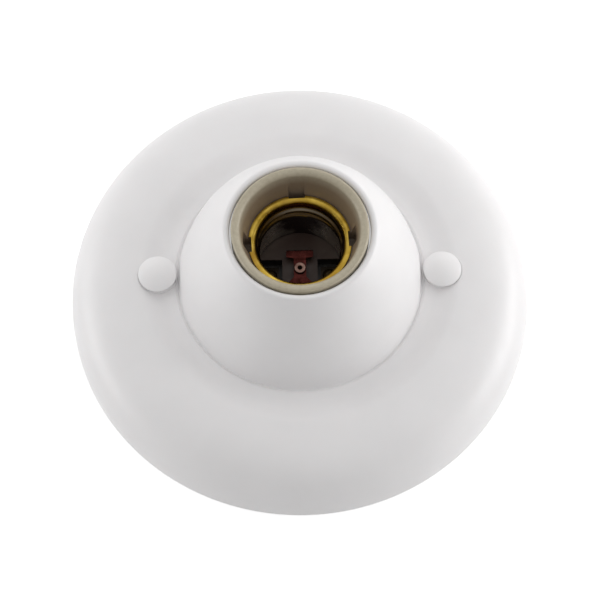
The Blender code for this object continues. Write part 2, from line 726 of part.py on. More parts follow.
def contact_stations():
    """Stations along the strip from its foot: distance past the rivet, height and width."""
    neck = CONTACT_NECK_WIDTH
    at_axis = CONTACT_RIVET_OFFSET
    level = CONTACT_RISE
    top = CONTACT_RISE + CONTACT_HEAD_RISE
    start = at_axis + CONTACT_HEAD_START
    end = at_axis + CONTACT_HEAD_END
    bend = at_axis - CONTACT_BEND
    flare = at_axis - CONTACT_FLARE
    clear = EYELET_FLANGE_RADIUS + 3 * FIT
    step = CONTACT_SHEET / 2
    neck_start = at_axis - clear - step
    slope = (level - step / 4) / (neck_start - bend)
    return [
        (-CONTACT_FOOT_OVERHANG, 0, CONTACT_FOOT_WIDTH - CONTACT_SHEET),
        (-CONTACT_FOOT_OVERHANG + step, 0, CONTACT_FOOT_WIDTH),
        (bend, 0, CONTACT_FOOT_WIDTH),
        (flare, slope * (flare - bend), CONTACT_FOOT_WIDTH),
        (flare + step, slope * (flare + step - bend), CONTACT_FOOT_WIDTH - step),
        (neck_start, level - step / 4, neck + 2 * step),
        (at_axis - clear, level, neck),
        (at_axis + clear, level, neck),
        (start - step, top - step, neck),
        (start, top - step / 2, CONTACT_HEAD_WIDTH - step),
        (start + step, top, CONTACT_HEAD_WIDTH),
        (end - step, top, CONTACT_HEAD_WIDTH),
        (end, top - step / 2, CONTACT_HEAD_WIDTH - step),
    ]


def make_contact(pivot):
    """Copper strip with a T-shaped head, and the hole that its eyelet fills."""
    copper = finish("contact_copper", COPPER, 0.35, 1.0)
    stations = contact_stations()
    vertices, faces = [], []
    for y, z, width in stations:
        for x, rise in ((-1, -1), (1, -1), (1, 1), (-1, 1)):
            vertices.append((x * width / 2, y, z + rise * CONTACT_SHEET / 2))
    for k in range(len(stations) - 1):
        for i in range(4):
            j = (i + 1) % 4
            faces.append([4 * k + i, 4 * k + j, 4 * k + 4 + j, 4 * k + 4 + i])
    last = 4 * len(stations) - 4
    faces += [[0, 1, 2, 3], [last, last + 1, last + 2, last + 3]]
    strip = add_object("centre_contact", mesh_from("centre_contact", vertices, faces), copper)
    strip.parent = pivot
    low, high = CONTACT_FOOT_HEIGHT - OVERSHOOT / 2, CONTACT_FOOT_HEIGHT + OVERSHOOT / 2
    foot_hole = rod("foot_hole", RIVET_SHANK_RADIUS + FIT, low, high, (0, -CONTACT_RIVET_OFFSET))
    low, high = low + CONTACT_RISE, high + CONTACT_RISE
    cut(strip, [foot_hole, rod("eyelet_hole", EYELET_TUBE_RADIUS + FIT, low, high, sides=TINY_SIDES)])
    return strip


def make_eyelet(pivot):
    """Hollow rivet that the lamp's tip rests on."""
    copper = finish("eyelet_copper", COPPER, 0.30, 1.0)
    half = CONTACT_SHEET / 2 + FIT
    far = half + EYELET_FLANGE
    chamfer = EYELET_FLANGE / 2
    outline = [
        (EYELET_HOLE_RADIUS, far - chamfer),
        (EYELET_HOLE_RADIUS + chamfer, far),
        (EYELET_FLANGE_RADIUS - chamfer, far),
        (EYELET_FLANGE_RADIUS, far - chamfer),
        (EYELET_FLANGE_RADIUS, half),
        (EYELET_TUBE_RADIUS, half),
        (EYELET_TUBE_RADIUS, -half),
        (EYELET_FLANGE_RADIUS, -half),
        (EYELET_FLANGE_RADIUS - chamfer, -far),
        (EYELET_HOLE_RADIUS, -far),
    ]
    place = (0, CONTACT_RIVET_OFFSET, CONTACT_RISE)
    eyelet = lathe("contact_eyelet", outline, TINY_SIDES, copper, place)
    eyelet.parent = pivot
    return eyelet


# Rivets and terminals

def rivet_places():
    """Name and place of each rivet."""
    return [
        ("contact_rivet", 0, -CONTACT_RIVET_OFFSET),
        ("shell_rivet", SHELL_RIVET_OFFSET, 0),
        ("shell_anchor_rivet", -SHELL_RIVET_OFFSET, 0),
    ]


def make_rivet(name, x, y, seat, tail_seat):
    """Round head above the seat, plain shank and a closed head below."""
    brass = finish(f"{name}_brass", BRASS, 0.35, 1.0)
    top = seat + FIT
    bottom = tail_seat - FIT
    dome = turn((0, 0), 1, 0, math.pi / 2, 3)
    head = [(RIVET_HEAD_RADIUS * a, top + RIVET_HEAD_HEIGHT * b) for a, b in dome]
    tail = [(RIVET_HEAD_RADIUS * a, bottom - RIVET_HEAD_HEIGHT * b) for a, b in dome]
    shank = [(RIVET_SHANK_RADIUS, bottom), (RIVET_SHANK_RADIUS, top)]
    outline = head[:-1] + [(0, head[-1][1]), (0, tail[-1][1])] + tail[-2::-1] + shank
    outline = [(r, z - top) for r, z in outline]
    return lathe(name, outline, TINY_SIDES, brass, (x, y, top))


def terminal_places():
    """Name, inner end, screw place and Y of each terminal."""
    line_start = RIVET_HEAD_RADIUS + RECESS_MARGIN
    neutral_start = SHELL_RIVET_OFFSET - RIVET_HEAD_RADIUS - RECESS_MARGIN
    return [
        ("line_terminal", line_start, LINE_SCREW_X, -CONTACT_RIVET_OFFSET),
        ("neutral_terminal", neutral_start, NEUTRAL_SCREW_X, 0),
    ]


def make_terminal(name, start, screw_x, y, rivet_x):
    """Brass bar with a round end, a drawn collar for the screw and a rivet hole."""
    brass = finish(f"{name}_brass", BRASS, 0.35, 1.0)
    outward = math.copysign(1, screw_x)
    half = TERMINAL_WIDTH / 2
    corner = TERMINAL_END
    reach = abs(screw_x) + TERMINAL_END
    end = turn((reach - corner, 0), corner, -math.acos(0), math.acos(0), 8)
    end = [(x, min(max(offset, -half), half)) for x, offset in end]
    outline = [(start * outward, half), (start * outward, -half)] + end
    outline = [(outward * a, b) for a, b in outline]
    bar = extrude(name, outline, TERMINAL_BOTTOM, TERMINAL_TOP, material=brass, location=(0, y, 0))
    hole = TERMINAL_SCREW_SHANK + FIT
    collar_top = TERMINAL_TOP + TERMINAL_COLLAR_HEIGHT
    collar = hole + TERMINAL_COLLAR_WALL
    fuse(bar, [rod(f"{name}_collar", collar, TERMINAL_BOTTOM + FIT, collar_top, (screw_x, y))])
    low, high = TERMINAL_BOTTOM - OVERSHOOT, collar_top + OVERSHOOT
    thread_hole = rod(f"{name}_thread_hole", hole, low, high, (screw_x, y))
    rivet_hole = rod(f"{name}_rivet_hole", RIVET_SHANK_RADIUS + FIT, low, high, (rivet_x, y))
    cut(bar, [thread_hole, rivet_hole])
    return bar


def make_clamp(name, x, y):
    """Square clamping washer under the terminal screw's head."""
    steel = finish(f"{name}_steel", ZINC_STEEL, 0.35, 1.0)
    half = CLAMP_WIDTH / 2
    low, high = (-half, -half, 0), (half, half, CLAMP_THICKNESS)
    plate = block(name, low, high, steel, (x, y, CLAMP_BOTTOM))
    hole = TERMINAL_SCREW_SHANK + FIT
    cut(plate, [rod(f"{name}_hole", hole, CLAMP_BOTTOM - OVERSHOOT, CLAMP_TOP + OVERSHOOT, (x, y))])
    return plate


# Screws

def make_screw(name, place, head, shank, slots):
    """Pan-head screw seen from below: head under the seat, shank above it."""
    steel = finish(f"{name}_steel", ZINC_STEEL, 0.32, 1.0)
    head_radius, head_height = head
    shank_radius, shank_length = shank
    crown = head_height / 2
    dome = turn((0, 0), 1, -math.pi / 2, 0, 4)
    pan = [(head_radius * a, -crown + crown * b) for a, b in dome]
    tip = shank_radius / 2
    outline = (
        [(0, -head_height)]
        + pan[1:]
        + [(head_radius, 0), (shank_radius, 0), (shank_radius, shank_length - tip)]
        + [(tip, shank_length), (0, shank_length)]
    )
    screw = lathe(name, outline, SMALL_SIDES, steel, place)
    cutters = []
    for i in range(slots):
        low = (-head_radius - OVERSHOOT, -SLOT_WIDTH / 2, -head_height - OVERSHOOT)
        high = (head_radius + OVERSHOOT, SLOT_WIDTH / 2, SLOT_DEPTH - head_height)
        if slots > 1:
            low = (-head_radius / 2, low[1], low[2])
            high = (head_radius / 2, high[1], high[2])
        angle = math.pi / 4 + math.pi * i / slots
        cutters.append(block(f"{name}_slot_{i + 1}", low, high, location=place, spin=angle))
    cut(screw, cutters)
    return screw


def make_insert_fixing(side, y):
    """Screw and washer that hold one ear of the insert to its post."""
    steel = finish(f"insert_washer_steel_{side}", ZINC_STEEL, 0.38, 1.0)
    hole = INSERT_SCREW_SHANK + FIT
    top = EAR_BOTTOM - FIT
    bottom = top - INSERT_WASHER_THICKNESS
    ring = [(hole, 0), (INSERT_WASHER_RADIUS, 0)]
    ring += [(INSERT_WASHER_RADIUS, INSERT_WASHER_THICKNESS), (hole, INSERT_WASHER_THICKNESS)]
    lathe(f"insert_washer_{side}", ring, SMALL_SIDES, steel, (0, y, bottom))
    seat = bottom - FIT
    length = POST_BOTTOM + INSERT_SCREW_REACH - seat
    head = (INSERT_SCREW_HEAD, INSERT_SCREW_HEAD_HEIGHT)
    make_screw(f"insert_screw_{side}", (0, y, seat), head, (INSERT_SCREW_SHANK, length), 2)


def main():
    for item in list(bpy.data.objects):
        bpy.data.objects.remove(item, do_unlink=True)
    make_base()
    make_cap("left", -WELL_X, CAP_LEFT_LIFT)
    make_cap("right", WELL_X, 0)
    make_insert()
    make_shell()

    pivot = bpy.data.objects.new("contact_pivot", None)
    bpy.context.scene.collection.objects.link(pivot)
    pivot.location = (0, -CONTACT_RIVET_OFFSET, CONTACT_FOOT_HEIGHT)
    make_contact(pivot)
    make_eyelet(pivot)

    contact_seat = CONTACT_FOOT_HEIGHT + CONTACT_SHEET / 2
    tab_seat = TAB_BOTTOM + SHEET
    seats = {
        "contact_rivet": (contact_seat, TERMINAL_BOTTOM),
        "shell_rivet": (tab_seat, TERMINAL_BOTTOM),
        "shell_anchor_rivet": (tab_seat, TERMINAL_CEILING),
    }
    for name, x, y in rivet_places():
        make_rivet(name, x, y, *seats[name])

    rivet_x = {"line_terminal": 0, "neutral_terminal": SHELL_RIVET_OFFSET}
    tip = TERMINAL_TOP + TERMINAL_COLLAR_HEIGHT + TERMINAL_SCREW_TIP / 4
    for name, start, screw_x, y in terminal_places():
        make_terminal(name, start, screw_x, y, rivet_x[name])
        wire = name.split("_")[0]
        make_clamp(f"{wire}_clamp_washer", screw_x, y)
        head = (TERMINAL_SCREW_HEAD, TERMINAL_SCREW_HEAD_HEIGHT)
        shank = (TERMINAL_SCREW_SHANK, tip - SCREW_SEAT)
        make_screw(f"{wire}_terminal_screw", (screw_x, y, SCREW_SEAT), head, shank, 1)

    make_insert_fixing("front", -EAR_OFFSET)
    make_insert_fixing("back", EAR_OFFSET)


main()
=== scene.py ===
"""Looks of the batten lamp holder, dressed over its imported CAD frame."""
import json
import math

import bmesh
import bpy
from mathutils import Matrix, Vector


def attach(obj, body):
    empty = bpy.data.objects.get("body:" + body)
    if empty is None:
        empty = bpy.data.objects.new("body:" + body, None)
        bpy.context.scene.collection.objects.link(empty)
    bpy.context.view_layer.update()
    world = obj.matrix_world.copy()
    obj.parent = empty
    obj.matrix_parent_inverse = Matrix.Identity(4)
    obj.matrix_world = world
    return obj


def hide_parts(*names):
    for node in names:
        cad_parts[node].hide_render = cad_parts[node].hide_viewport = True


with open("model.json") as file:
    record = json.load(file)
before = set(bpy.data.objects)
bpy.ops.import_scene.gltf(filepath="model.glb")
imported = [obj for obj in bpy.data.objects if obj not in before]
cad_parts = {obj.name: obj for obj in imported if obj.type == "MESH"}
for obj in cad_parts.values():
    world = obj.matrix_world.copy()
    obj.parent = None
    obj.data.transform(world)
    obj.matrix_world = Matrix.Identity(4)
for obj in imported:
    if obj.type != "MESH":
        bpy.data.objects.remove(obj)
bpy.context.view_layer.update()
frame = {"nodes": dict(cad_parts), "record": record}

# Gap between the faces of two pieces that fit together, in metres like all sizes
FIT = 0.0003

# Base: a domed ring round a boss, with a shallow valley between them
BASE_WALL = 0.0024
RIM_BREAK = 0.0004
SHOULDER_WIDTH = 0.0230
SHOULDER_POWER = 2.4
CREST_HEIGHT = 0.0190
CREST_TO_VALLEY = 0.0085
VALLEY_WIDTH = 0.0034
VALLEY_DEPTH = 0.0020
BOSS_FOOT_RADIUS = 0.0381
BOSS_BULGE = 0.0024
BOSS_GROOVE_DEPTH = 0.0005
BOSS_GROOVE_WIDTH = 0.0012
LIP_ROUND = 0.0012
LIP_START = math.radians(45)
RIB_COUNT = 4
RIB_THICKNESS = 0.0016
RIB_BOTTOM = 0.0090

# Fixing screw wells and their caps
CAP_RADIUS = 0.00595
CAP_GAP = 0.0004
WELL_RADIUS = 0.0052
WELL_SHOULDER_WIDTH = 0.0009
WELL_WALL = 0.0020
WELL_FLOOR = 0.0030
FIXING_HOLE_RADIUS = 0.0023
CAP_PAD_RISE = 0.0016
CAP_RIM_HEIGHT = 0.0007
CAP_DOME_HEIGHT = 0.0017
CAP_CROWN = 0.0014
CAP_SKIRT_WALL = 0.0006
CAP_SKIRT_LENGTH = 0.0055
CAP_SLIT_WIDTH = 0.0008
CAP_LEFT_LIFT = 0.0006

# Porcelain insert
INSERT_TOP = 0.0505
INSERT_PROUD = 0.0006
RIM_WIDTH = 0.0028
INSERT_RIM_DEPTH = 0.0063
INSERT_BODY_INSET = 0.00045
INSERT_BOTTOM = 0.0060
COLLAR_GAP = 0.00045
RIM_OUTER_ROUND = 0.0009
RIM_FLAT = 0.0001
MOUTH_TAPER = 0.0018
CUP_FOOT_GAP = 0.00035
FLOOR_TOP = 0.0195
POCKET_FLOOR = 0.0155
POCKET_HALF_LENGTH = 0.0042
POCKET_EDGE = 0.0006
CONTACT_RIB_HALF_WIDTH = 0.0055

# Ears of the insert, and the posts that they are screwed to
EAR_STANDOFF = 0.00635
EAR_RADIUS = 0.0046
EAR_TOP = 0.0190
EAR_THICKNESS = 0.0050
POST_RADIUS = 0.0038
POST_WEB_THICKNESS = 0.0018
INSERT_SCREW_SHANK = 0.0015
INSERT_SCREW_REACH = 0.0080

# Brass lamp shell
SHEET = 0.00045
LIP_PLANE = 0.0413
LIP_WIDTH = 0.00235
LIP_BEND = 0.0015
THREAD_MAJOR = 0.0133
THREAD_DEPTH = 0.0011
THREAD_PITCH = 0.003629
THREAD_START = 0.0024
THREAD_TURNS = 2
NOTCH_COUNT = 4
NOTCH_WIDTH = 0.0050
NOTCH_IN_LIP = 0.00105
NOTCH_IN_WALL = 0.0011
NOTCH_DEPTH = 0.0045
NOTCH_TWIST = math.radians(2.5)
TAB_WIDTH = 0.0060
TAB_REACH = 0.0066

# Rivets, terminals and their screws, for the holes and channels in the insert
RIVET_SHANK_RADIUS = 0.00135
RIVET_HEAD_RADIUS = 0.0022
SHELL_RIVET_OFFSET = 0.0093
CONTACT_RIVET_OFFSET = 0.0090
TERMINAL_CEILING = 0.0120
TERMINAL_WIDTH = 0.0076
TERMINAL_COLLAR_WALL = 0.0010
TERMINAL_COLLAR_HEIGHT = 0.0017
TERMINAL_SCREW_SHANK = 0.0016
TERMINAL_SCREW_TIP = 0.0024
NEUTRAL_SCREW_INSET = 0.00465
LINE_SCREW_INSET = 0.00715
RECESS_MARGIN = 0.0006

# Sides of round shapes, rows of the thread, and how far a cutter stands clear
BASE_SIDES = 160
CAP_SIDES = 72
INSERT_SIDES = 128
SHELL_SIDES = 144
SEAT_SIDES = 64
ROD_SIDES = 48
RECESS_SIDES = 40
SMALL_SIDES = 32
THREAD_ROWS_PER_TURN = 18
OVER = 0.0020

# Sizes that follow from the ones above
VALLEY_RADIUS = BOSS_FOOT_RADIUS + VALLEY_WIDTH
VALLEY_HEIGHT = CREST_HEIGHT - VALLEY_DEPTH
CREST_RADIUS = VALLEY_RADIUS + CREST_TO_VALLEY
BASE_RADIUS = CREST_RADIUS + SHOULDER_WIDTH
BASE_TOP = INSERT_TOP - INSERT_PROUD
LIP_RADIUS = THREAD_MAJOR + LIP_WIDTH
CUP_FOOT_RADIUS = LIP_RADIUS + CUP_FOOT_GAP
RIM_MOUTH_RADIUS = CUP_FOOT_RADIUS + MOUTH_TAPER
RIM_INNER_ROUND = RIM_WIDTH - RIM_OUTER_ROUND - RIM_FLAT
INSERT_RIM_RADIUS = RIM_MOUTH_RADIUS + RIM_WIDTH
INSERT_BODY_RADIUS = INSERT_RIM_RADIUS - INSERT_BODY_INSET
OPENING_RADIUS = INSERT_RIM_RADIUS + COLLAR_GAP
EAR_OFFSET = INSERT_BODY_RADIUS + EAR_STANDOFF
EAR_BOTTOM = EAR_TOP - EAR_THICKNESS
POST_BOTTOM = EAR_TOP + FIT
NOTCH_INNER = LIP_RADIUS - NOTCH_IN_LIP
NOTCH_OUTER = CUP_FOOT_RADIUS + NOTCH_IN_WALL
WELL_X = BOSS_FOOT_RADIUS + CAP_GAP + CAP_RADIUS
CAP_SEAT = VALLEY_HEIGHT + CAP_PAD_RISE
CAP_SKIRT_RADIUS = WELL_RADIUS - FIT
WELL_SHOULDER = CAP_SEAT - CAP_SKIRT_LENGTH - FIT
WELL_BORE_RADIUS = WELL_RADIUS - WELL_SHOULDER_WIDTH
LIP_BEND_CENTRE = (THREAD_MAJOR + LIP_BEND, LIP_PLANE - LIP_BEND)
SHELF = LIP_PLANE - SHEET - FIT
SHELF_ROUND = LIP_BEND - SHEET - FIT
BORE_RADIUS = THREAD_MAJOR + SHEET + FIT
SMOOTH_WALL_TOP = LIP_PLANE - THREAD_START - THREAD_TURNS * THREAD_PITCH
SHELL_BOTTOM = FLOOR_TOP + FIT
TAB_BOTTOM = POCKET_FLOOR + FIT
RIVET_HOLE = RIVET_SHANK_RADIUS + FIT
WELLS = (-WELL_X, WELL_X)
EARS = (-EAR_OFFSET, EAR_OFFSET)


# Shapes

def superellipse(side, top, power, steps):
    """From an upright side over a rounded shoulder to a level top."""
    points = []
    for i in range(steps + 1):
        angle = math.pi / 2 * i / steps
        across = math.cos(angle) ** (2 / power)
        up = math.sin(angle) ** (2 / power)
        points.append((top[0] + (side[0] - top[0]) * across, side[1] + (top[1] - side[1]) * up))
    return points


def s_curve(start, end, steps):
    """A soft step that is level at both ends."""
    points = []
    for i in range(1, steps + 1):
        share = i / steps
        blend = (1 - math.cos(math.pi * share)) / 2
        points.append((start[0] + (end[0] - start[0]) * share, start[1] + (end[1] - start[1]) * blend))
    return points


def turn(centre, radius, first, last, steps):
    """Points on an arc between two angles."""
    angles = [first + (last - first) * i / steps for i in range(steps + 1)]
    return [(centre[0] + radius * math.cos(a), centre[1] + radius * math.sin(a)) for a in angles]


def bulged(start, end, rise, steps):
    """A shallow arc that stands out from the straight line between its ends."""
    dx, dz = end[0] - start[0], end[1] - start[1]
    chord = math.hypot(dx, dz)
    radius = chord * chord / (8 * rise) + rise / 2
    out = (dz / chord, -dx / chord)
    middle = ((start[0] + end[0]) / 2, (start[1] + end[1]) / 2)
    centre = (middle[0] - out[0] * (radius - rise), middle[1] - out[1] * (radius - rise))
    first = math.atan2(start[1] - centre[1], start[0] - centre[0])
    last = math.atan2(end[1] - centre[1], end[0] - centre[0])
    return turn(centre, radius, first, last, steps)


def inset(points, distance):
    """A line moved square to itself, into the wall."""
    moved = []
    for i, (r, z) in enumerate(points):
        before = points[max(i - 1, 0)]
        after = points[min(i + 1, len(points) - 1)]
        dr, dz = after[0] - before[0], after[1] - before[1]
        length = math.hypot(dr, dz)
        moved.append((r - dz / length * distance, z + dr / length * distance))
    return moved


def add(name, vertices, faces, location=(0, 0, 0)):
    """An object from vertices and faces, with its normals made consistent."""
    mesh = bpy.data.meshes.new(name)
    mesh.from_pydata(vertices, [], faces)
    shape = bmesh.new()
    shape.from_mesh(mesh)
    bmesh.ops.recalc_face_normals(shape, faces=shape.faces)
    shape.to_mesh(mesh)
    shape.free()
    item = bpy.data.objects.new(name, mesh)
    bpy.context.scene.collection.objects.link(item)
    item.location = location
    return item


def smooth(item, degrees=32):
    """Smooth shading, except over edges sharper than an angle."""
    item.data.shade_smooth()
    item.data.set_sharp_from_angle(angle=math.radians(degrees))


def lathe(name, outline, sides, location=(0, 0, 0)):
    """A closed outline of (radius, height) turned about Z."""
    vertices, rings = [], []
    for radius, height in outline:
        if radius == 0:
            rings.append([len(vertices)] * sides)
            vertices.append((0, 0, height))
            continue
        rings.append(list(range(len(vertices), len(vertices) + sides)))
        for i in range(sides):
            angle = 2 * math.pi * i / sides
            vertices.append((radius * math.cos(angle), radius * math.sin(angle), height))
    faces = []
    for k, ring in enumerate(rings):
        following = rings[(k + 1) % len(rings)]
        for i in range(sides):
            j = (i + 1) % sides
            corners = list(dict.fromkeys([ring[i], ring[j], following[j], following[i]]))
            if len(corners) > 2:
                faces.append(corners)
    return add(name, vertices, faces, location)


def prism(name, outline, low, high, location=(0, 0, 0), spin=0.0):
    """A flat outline raised from one level to another."""
    count = len(outline)
    vertices = [(a, b, level) for level in (low, high) for a, b in outline]
    faces = [list(range(count)), list(range(count, 2 * count))]
    for i in range(count):
        j = (i + 1) % count
        faces.append([i, j, count + j, count + i])
    item = add(name, vertices, faces, location)
    item.rotation_euler.z = spin
    return item


def block(name, low, high, location=(0, 0, 0), spin=0.0):
    """A box between two corners."""
    outline = [(low[0], low[1]), (high[0], low[1]), (high[0], high[1]), (low[0], high[1])]
    return prism(name, outline, low[2], high[2], location, spin)


def rod(name, radius, low, high, centre=(0, 0), sides=ROD_SIDES):
    """An upright cylinder."""
    outline = [(0, low), (radius, low), (radius, high), (0, high)]
    return lathe(name, outline, sides, (centre[0], centre[1], 0))


def combine(target, tools, operation):
    """Applies one Boolean with a group of tools, then removes them."""
    group = bpy.data.collections.new("tools")
    bpy.context.scene.collection.children.link(group)
    for tool in tools:
        group.objects.link(tool)
    step = target.modifiers.new("step", "BOOLEAN")
    step.operation = operation
    step.solver = "EXACT"
    step.operand_type = "COLLECTION"
    step.collection = group
    applied(target)
    for tool in tools:
        bpy.data.objects.remove(tool, do_unlink=True)
    bpy.data.collections.remove(group)


def applied(item):
    """Turns the object's modifiers into mesh."""
    bpy.context.view_layer.update()
    graph = bpy.context.evaluated_depsgraph_get()
    mesh = bpy.data.meshes.new_from_object(item.evaluated_get(graph))
    item.modifiers.clear()
    item.data = mesh
    return item


def bevelled(item, width, segments=3, degrees=40):
    """Rounds an object's edges that are sharper than an angle."""
    step = item.modifiers.new("edges", "BEVEL")
    step.width = width
    step.segments = segments
    step.limit_method = "ANGLE"
    step.angle_limit = math.radians(degrees)
    return applied(item)


# Materials

def new_material(name, colour, roughness, metallic=0.0):
    """A material, its node tree and its shader, in one plain colour until nodes are linked to it."""
    material = bpy.data.materials.new(name)
    material.use_nodes = True
    shader = material.node_tree.nodes["Principled BSDF"]
    shader.inputs["Base Color"].default_value = (*colour, 1.0)
    shader.inputs["Roughness"].default_value = roughness
    shader.inputs["Metallic"].default_value = metallic
    return material, material.node_tree, shader


def node(tree, kind, **values):
    """A new node, with values for its inputs or else for its own settings."""
    item = tree.nodes.new(kind)
    for key, value in values.items():
        if key in item.inputs:
            item.inputs[key].default_value = value
        else:
            setattr(item, key, value)
    return item


def place_in(tree):
    """The point's place on the object, from one node for the whole tree."""
    source = tree.nodes.get("Coordinates") or node(tree, "ShaderNodeTexCoord", name="Coordinates")
    return source.outputs["Object"]


def along(tree, axis):
    """The point's place along one axis of the object."""
    split = tree.nodes.new("ShaderNodeSeparateXYZ")
    tree.links.new(place_in(tree), split.inputs["Vector"])
    return split.outputs[axis]


def radius_of(tree):
    """The point's distance from the socket axis."""
    flat = node(tree, "ShaderNodeVectorMath", operation="MULTIPLY")
    flat.inputs[1].default_value = (1, 1, 0)
    tree.links.new(place_in(tree), flat.inputs[0])
    length = node(tree, "ShaderNodeVectorMath", operation="LENGTH")
    tree.links.new(flat.outputs[0], length.inputs[0])
    return length.outputs["Value"]


def noise(tree, scale, detail=3.0):
    item = node(tree, "ShaderNodeTexNoise", Scale=scale, Detail=detail, Roughness=0.55)
    tree.links.new(place_in(tree), item.inputs["Vector"])
    return item.outputs["Fac"]


def ramp(tree, factor, stops):
    """From one colour to another while a factor goes from the first stop's place to the second's."""
    item = tree.nodes.new("ShaderNodeValToRGB")
    for element, (place, colour) in zip(item.color_ramp.elements, stops):
        element.position = place
        element.color = (*colour, 1.0)
    tree.links.new(factor, item.inputs["Fac"])
    return item.outputs["Color"]


def spread(tree, factor, low, high, start=0.0, end=1.0):
    """A number between low and high for a factor between start and end."""
    item = tree.nodes.new("ShaderNodeMapRange")
    for key, value in (("From Min", start), ("From Max", end), ("To Min", low), ("To Max", high)):
        item.inputs[key].default_value = value
    tree.links.new(factor, item.inputs["Value"])
    return item.outputs["Result"]


def below(tree, value, level, blend):
    """Nothing where a value is above a level, one where it is under it by the blend or more."""
    return spread(tree, value, 1.0, 0.0, level - blend, level)


# A Mix node's colour sockets, by number because its sockets of other kinds have the same names
MIX_COLOUR_INPUTS = (6, 7)
MIX_COLOUR_OUTPUT = 2


def mix(tree, factor, *colours):
    """Between two colours, each a colour or another node's output."""
    item = tree.nodes.new("ShaderNodeMix")
    item.data_type = "RGBA"
    tree.links.new(factor, item.inputs["Factor"])
    for index, colour in zip(MIX_COLOUR_INPUTS, colours):
        if isinstance(colour, tuple):
            item.inputs[index].default_value = (*colour, 1.0)
        else:
            tree.links.new(colour, item.inputs[index])
    return item.outputs[MIX_COLOUR_OUTPUT]


def bump(tree, shader, height, strength, distance):
    item = node(tree, "ShaderNodeBump", Strength=strength, Distance=distance)
    tree.links.new(height, item.inputs["Height"])
    tree.links.new(item.outputs["Normal"], shader.inputs["Normal"])


def calculate(tree, operation, *values):
    """One Math node over numbers and other nodes' outputs."""
    item = node(tree, "ShaderNodeMath", operation=operation)
    for socket, value in zip(item.inputs, values):
        if isinstance(value, float):
            socket.default_value = value
        else:
            tree.links.new(value, socket)
    return item.outputs[0]


def product(tree, *factors):
    total = factors[0]
    for factor in factors[1:]:
        total = calculate(tree, "MULTIPLY", total, factor)
    return total


def plastic(name, colour, roughness):
    """Matt white plastic that light enters a little."""
    material, tree, shader = new_material(name, colour, roughness)
    low = tuple(c * 0.975 for c in colour)
    shades = ramp(tree, noise(tree, 60, 4), [(0.35, low), (0.65, colour)])
    tree.links.new(shades, shader.inputs["Base Color"])
    worn = spread(tree, noise(tree, 220), roughness - 0.05, roughness + 0.06, 0.3, 0.7)
    tree.links.new(worn, shader.inputs["Roughness"])
    shader.inputs["Subsurface Weight"].default_value = 0.08
    shader.inputs["Subsurface Radius"].default_value = (0.0012, 0.0010, 0.0009)
    shader.inputs["Subsurface Scale"].default_value = 1.0
    bump(tree, shader, noise(tree, 1400, 2), 0.05, 0.0002)
    return material


# Where the porcelain's painted shade begins, and over what distance it comes in
CUP_SHADE_TOP = INSERT_TOP - 0.0002
CUP_SHADE_BLEND = 0.0043
CUP_SHADE_RADIUS = RIM_MOUTH_RADIUS + 0.0014
CUP_SHADE_RADIUS_BLEND = 0.0008
CUP_SHADE_BOTTOM = POCKET_FLOOR - 0.0001
CUP_SHADE_BOTTOM_BLEND = 0.0003
POCKET_SHADE_TOP = FLOOR_TOP - 0.0001
POCKET_SHADE_BLEND = 0.0005


def porcelain(name):
    """Beige porcelain with painted shade: browner down the cup and darkest at its floor and in the floor's
    pockets.
    """
    material, tree, shader = new_material(name, (0.47, 0.42, 0.31), 0.3)
    grain = ramp(tree, noise(tree, 900, 4), [(0.30, (0.43, 0.38, 0.28)), (0.60, (0.49, 0.44, 0.33))])
    cloudy = spread(tree, noise(tree, 120), 0.0, 0.35, 0.35, 0.7)
    clean = mix(tree, cloudy, grain, (0.40, 0.35, 0.25))
    height = along(tree, "Z")
    # Painted shade: under the rim the cup's wall darkens to brown, and towards its floor to a dark brown
    down = below(tree, height, CUP_SHADE_TOP, CUP_SHADE_BLEND)
    inside = below(tree, radius_of(tree), CUP_SHADE_RADIUS, CUP_SHADE_RADIUS_BLEND)
    above = spread(tree, height, 0.0, 1.0, CUP_SHADE_BOTTOM - CUP_SHADE_BOTTOM_BLEND, CUP_SHADE_BOTTOM)
    deep = below(tree, height, LIP_PLANE, LIP_PLANE - FLOOR_TOP)
    shaded_colour = mix(tree, deep, (0.28, 0.21, 0.145), (0.050, 0.028, 0.020))
    # Painted shade: the floor's pockets are near black
    pocket = below(tree, height, POCKET_SHADE_TOP, POCKET_SHADE_BLEND)
    shaded_colour = mix(tree, pocket, shaded_colour, (0.014, 0.011, 0.008))
    shade_mask = product(tree, down, inside, above)
    tree.links.new(mix(tree, shade_mask, clean, shaded_colour), shader.inputs["Base Color"])
    tree.links.new(spread(tree, noise(tree, 300, 2), 0.38, 0.56, 0.3, 0.7), shader.inputs["Roughness"])
    shader.inputs["Coat Weight"].default_value = 0.1
    shader.inputs["Coat Roughness"].default_value = 0.3
    bump(tree, shader, noise(tree, 700), 0.05, 0.0002)
    return material


def metal(name, colour, dark, roughness):
    """Metal with darker stains."""
    material, tree, shader = new_material(name, colour, roughness, 1.0)
    stain = ramp(tree, noise(tree, 400, 4), [(0.32, dark), (0.58, colour)])
    tree.links.new(stain, shader.inputs["Base Color"])
    rough = spread(tree, noise(tree, 1000), roughness - 0.08, roughness + 0.12, 0.3, 0.7)
    tree.links.new(rough, shader.inputs["Roughness"])
    bump(tree, shader, noise(tree, 1600, 2), 0.08, 0.0001)
    return material


